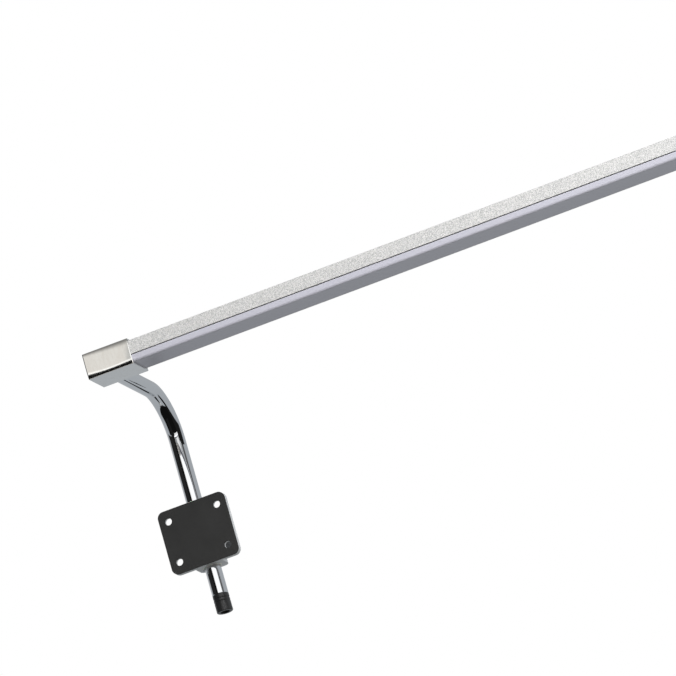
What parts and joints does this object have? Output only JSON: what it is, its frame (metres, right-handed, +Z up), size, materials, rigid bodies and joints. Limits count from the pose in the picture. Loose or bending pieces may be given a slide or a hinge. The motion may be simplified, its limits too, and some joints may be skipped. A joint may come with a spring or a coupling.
{
  "type": "monitor light bar",
  "caption": "Slim LED light bar held in front of a panel's top edge by bent tube arms that slide in clamped holders on the panel's back.",
  "frame": {"origin": "midway between the two holders, on the plane where their rubber backings rest against the panel's back, at the height of the thumb screws", "axes": "+X along the bar to the viewer's right, +Y from the lit front to the back, +Z up"},
  "size_m": [0.6276, 0.1427, 0.147],
  "materials": {
    "nickel": "polished nickel plate",
    "chrome_tube": "bright chrome plate",
    "speckled_aluminium": "fine speckled sparkle finish",
    "opal": "opal diffuser",
    "board": "white solder mask",
    "led": "phosphor over white package",
    "resistor": "matt",
    "tape": "matt",
    "foam": "closed cell",
    "screw_steel": "zinc plate",
    "lead": "matt jacket",
    "inlet": "moulded",
    "contact": "bright",
    "holder_metal": "satin grey",
    "nylon": "natural",
    "rubber": "matt",
    "knob": "fine moulded texture"
  },
  "bodies": {
    "holders": {"left_holder": "holder_metal", "left_bush": "nylon", "left_backing": "rubber", "right_holder": "holder_metal", "right_bush": "nylon", "right_backing": "rubber"},
    "lamp": {"bar_housing": "speckled_aluminium", "diffuser": "opal", "led_board": "board", "led_chips": "led", "led_resistors": "resistor", "thermal_tape": "tape", "supply_lead": "lead", "dc_socket": "inlet", "dc_pin": "contact", "right_end_plug": "inlet", "left_gasket": "foam", "right_gasket": "foam", "left_bracket": "nickel", "right_bracket": "nickel", "left_end_screw": "screw_steel", "right_end_screw": "screw_steel", "left_arm_screw": "screw_steel", "right_arm_screw": "screw_steel", "left_arm": "chrome_tube", "right_arm": "chrome_tube"},
    "left_pressure_pad": {"left_pad": "nylon"},
    "right_pressure_pad": {"right_pad": "nylon"},
    "left_screw": {"left_stud": "screw_steel", "left_knob": "knob"},
    "right_screw": {"right_stud": "screw_steel", "right_knob": "knob"}
  },
  "joints": [
    {"name": "height_slide", "type": "slide", "parent": "holders", "child": "lamp", "axis": [0, 0, 1], "range_m": [-0.035, 0.025]},
    {"name": "left_pad_slide", "type": "slide", "parent": "holders", "child": "left_pressure_pad", "axis": [0, 1, 0], "range_m": [0, 0.0014]},
    {"name": "left_screw_turn", "type": "hinge", "parent": "left_pressure_pad", "child": "left_screw", "pos_m": [-0.2918, 0.0325, 0], "axis": [0, 1, 0], "range_deg": [0, 632]},
    {"name": "right_pad_slide", "type": "slide", "parent": "holders", "child": "right_pressure_pad", "axis": [0, 1, 0], "range_m": [0, 0.0014]},
    {"name": "right_screw_turn", "type": "hinge", "parent": "right_pressure_pad", "child": "right_screw", "pos_m": [0.2918, 0.0325, 0], "axis": [0, 1, 0], "range_deg": [0, 632]}
  ],
  "couplings": [
    {"joint": "left_screw_turn", "follows": "left_pad_slide", "rad_per_m": 7854},
    {"joint": "right_screw_turn", "follows": "right_pad_slide", "rad_per_m": 7854}
  ]
}
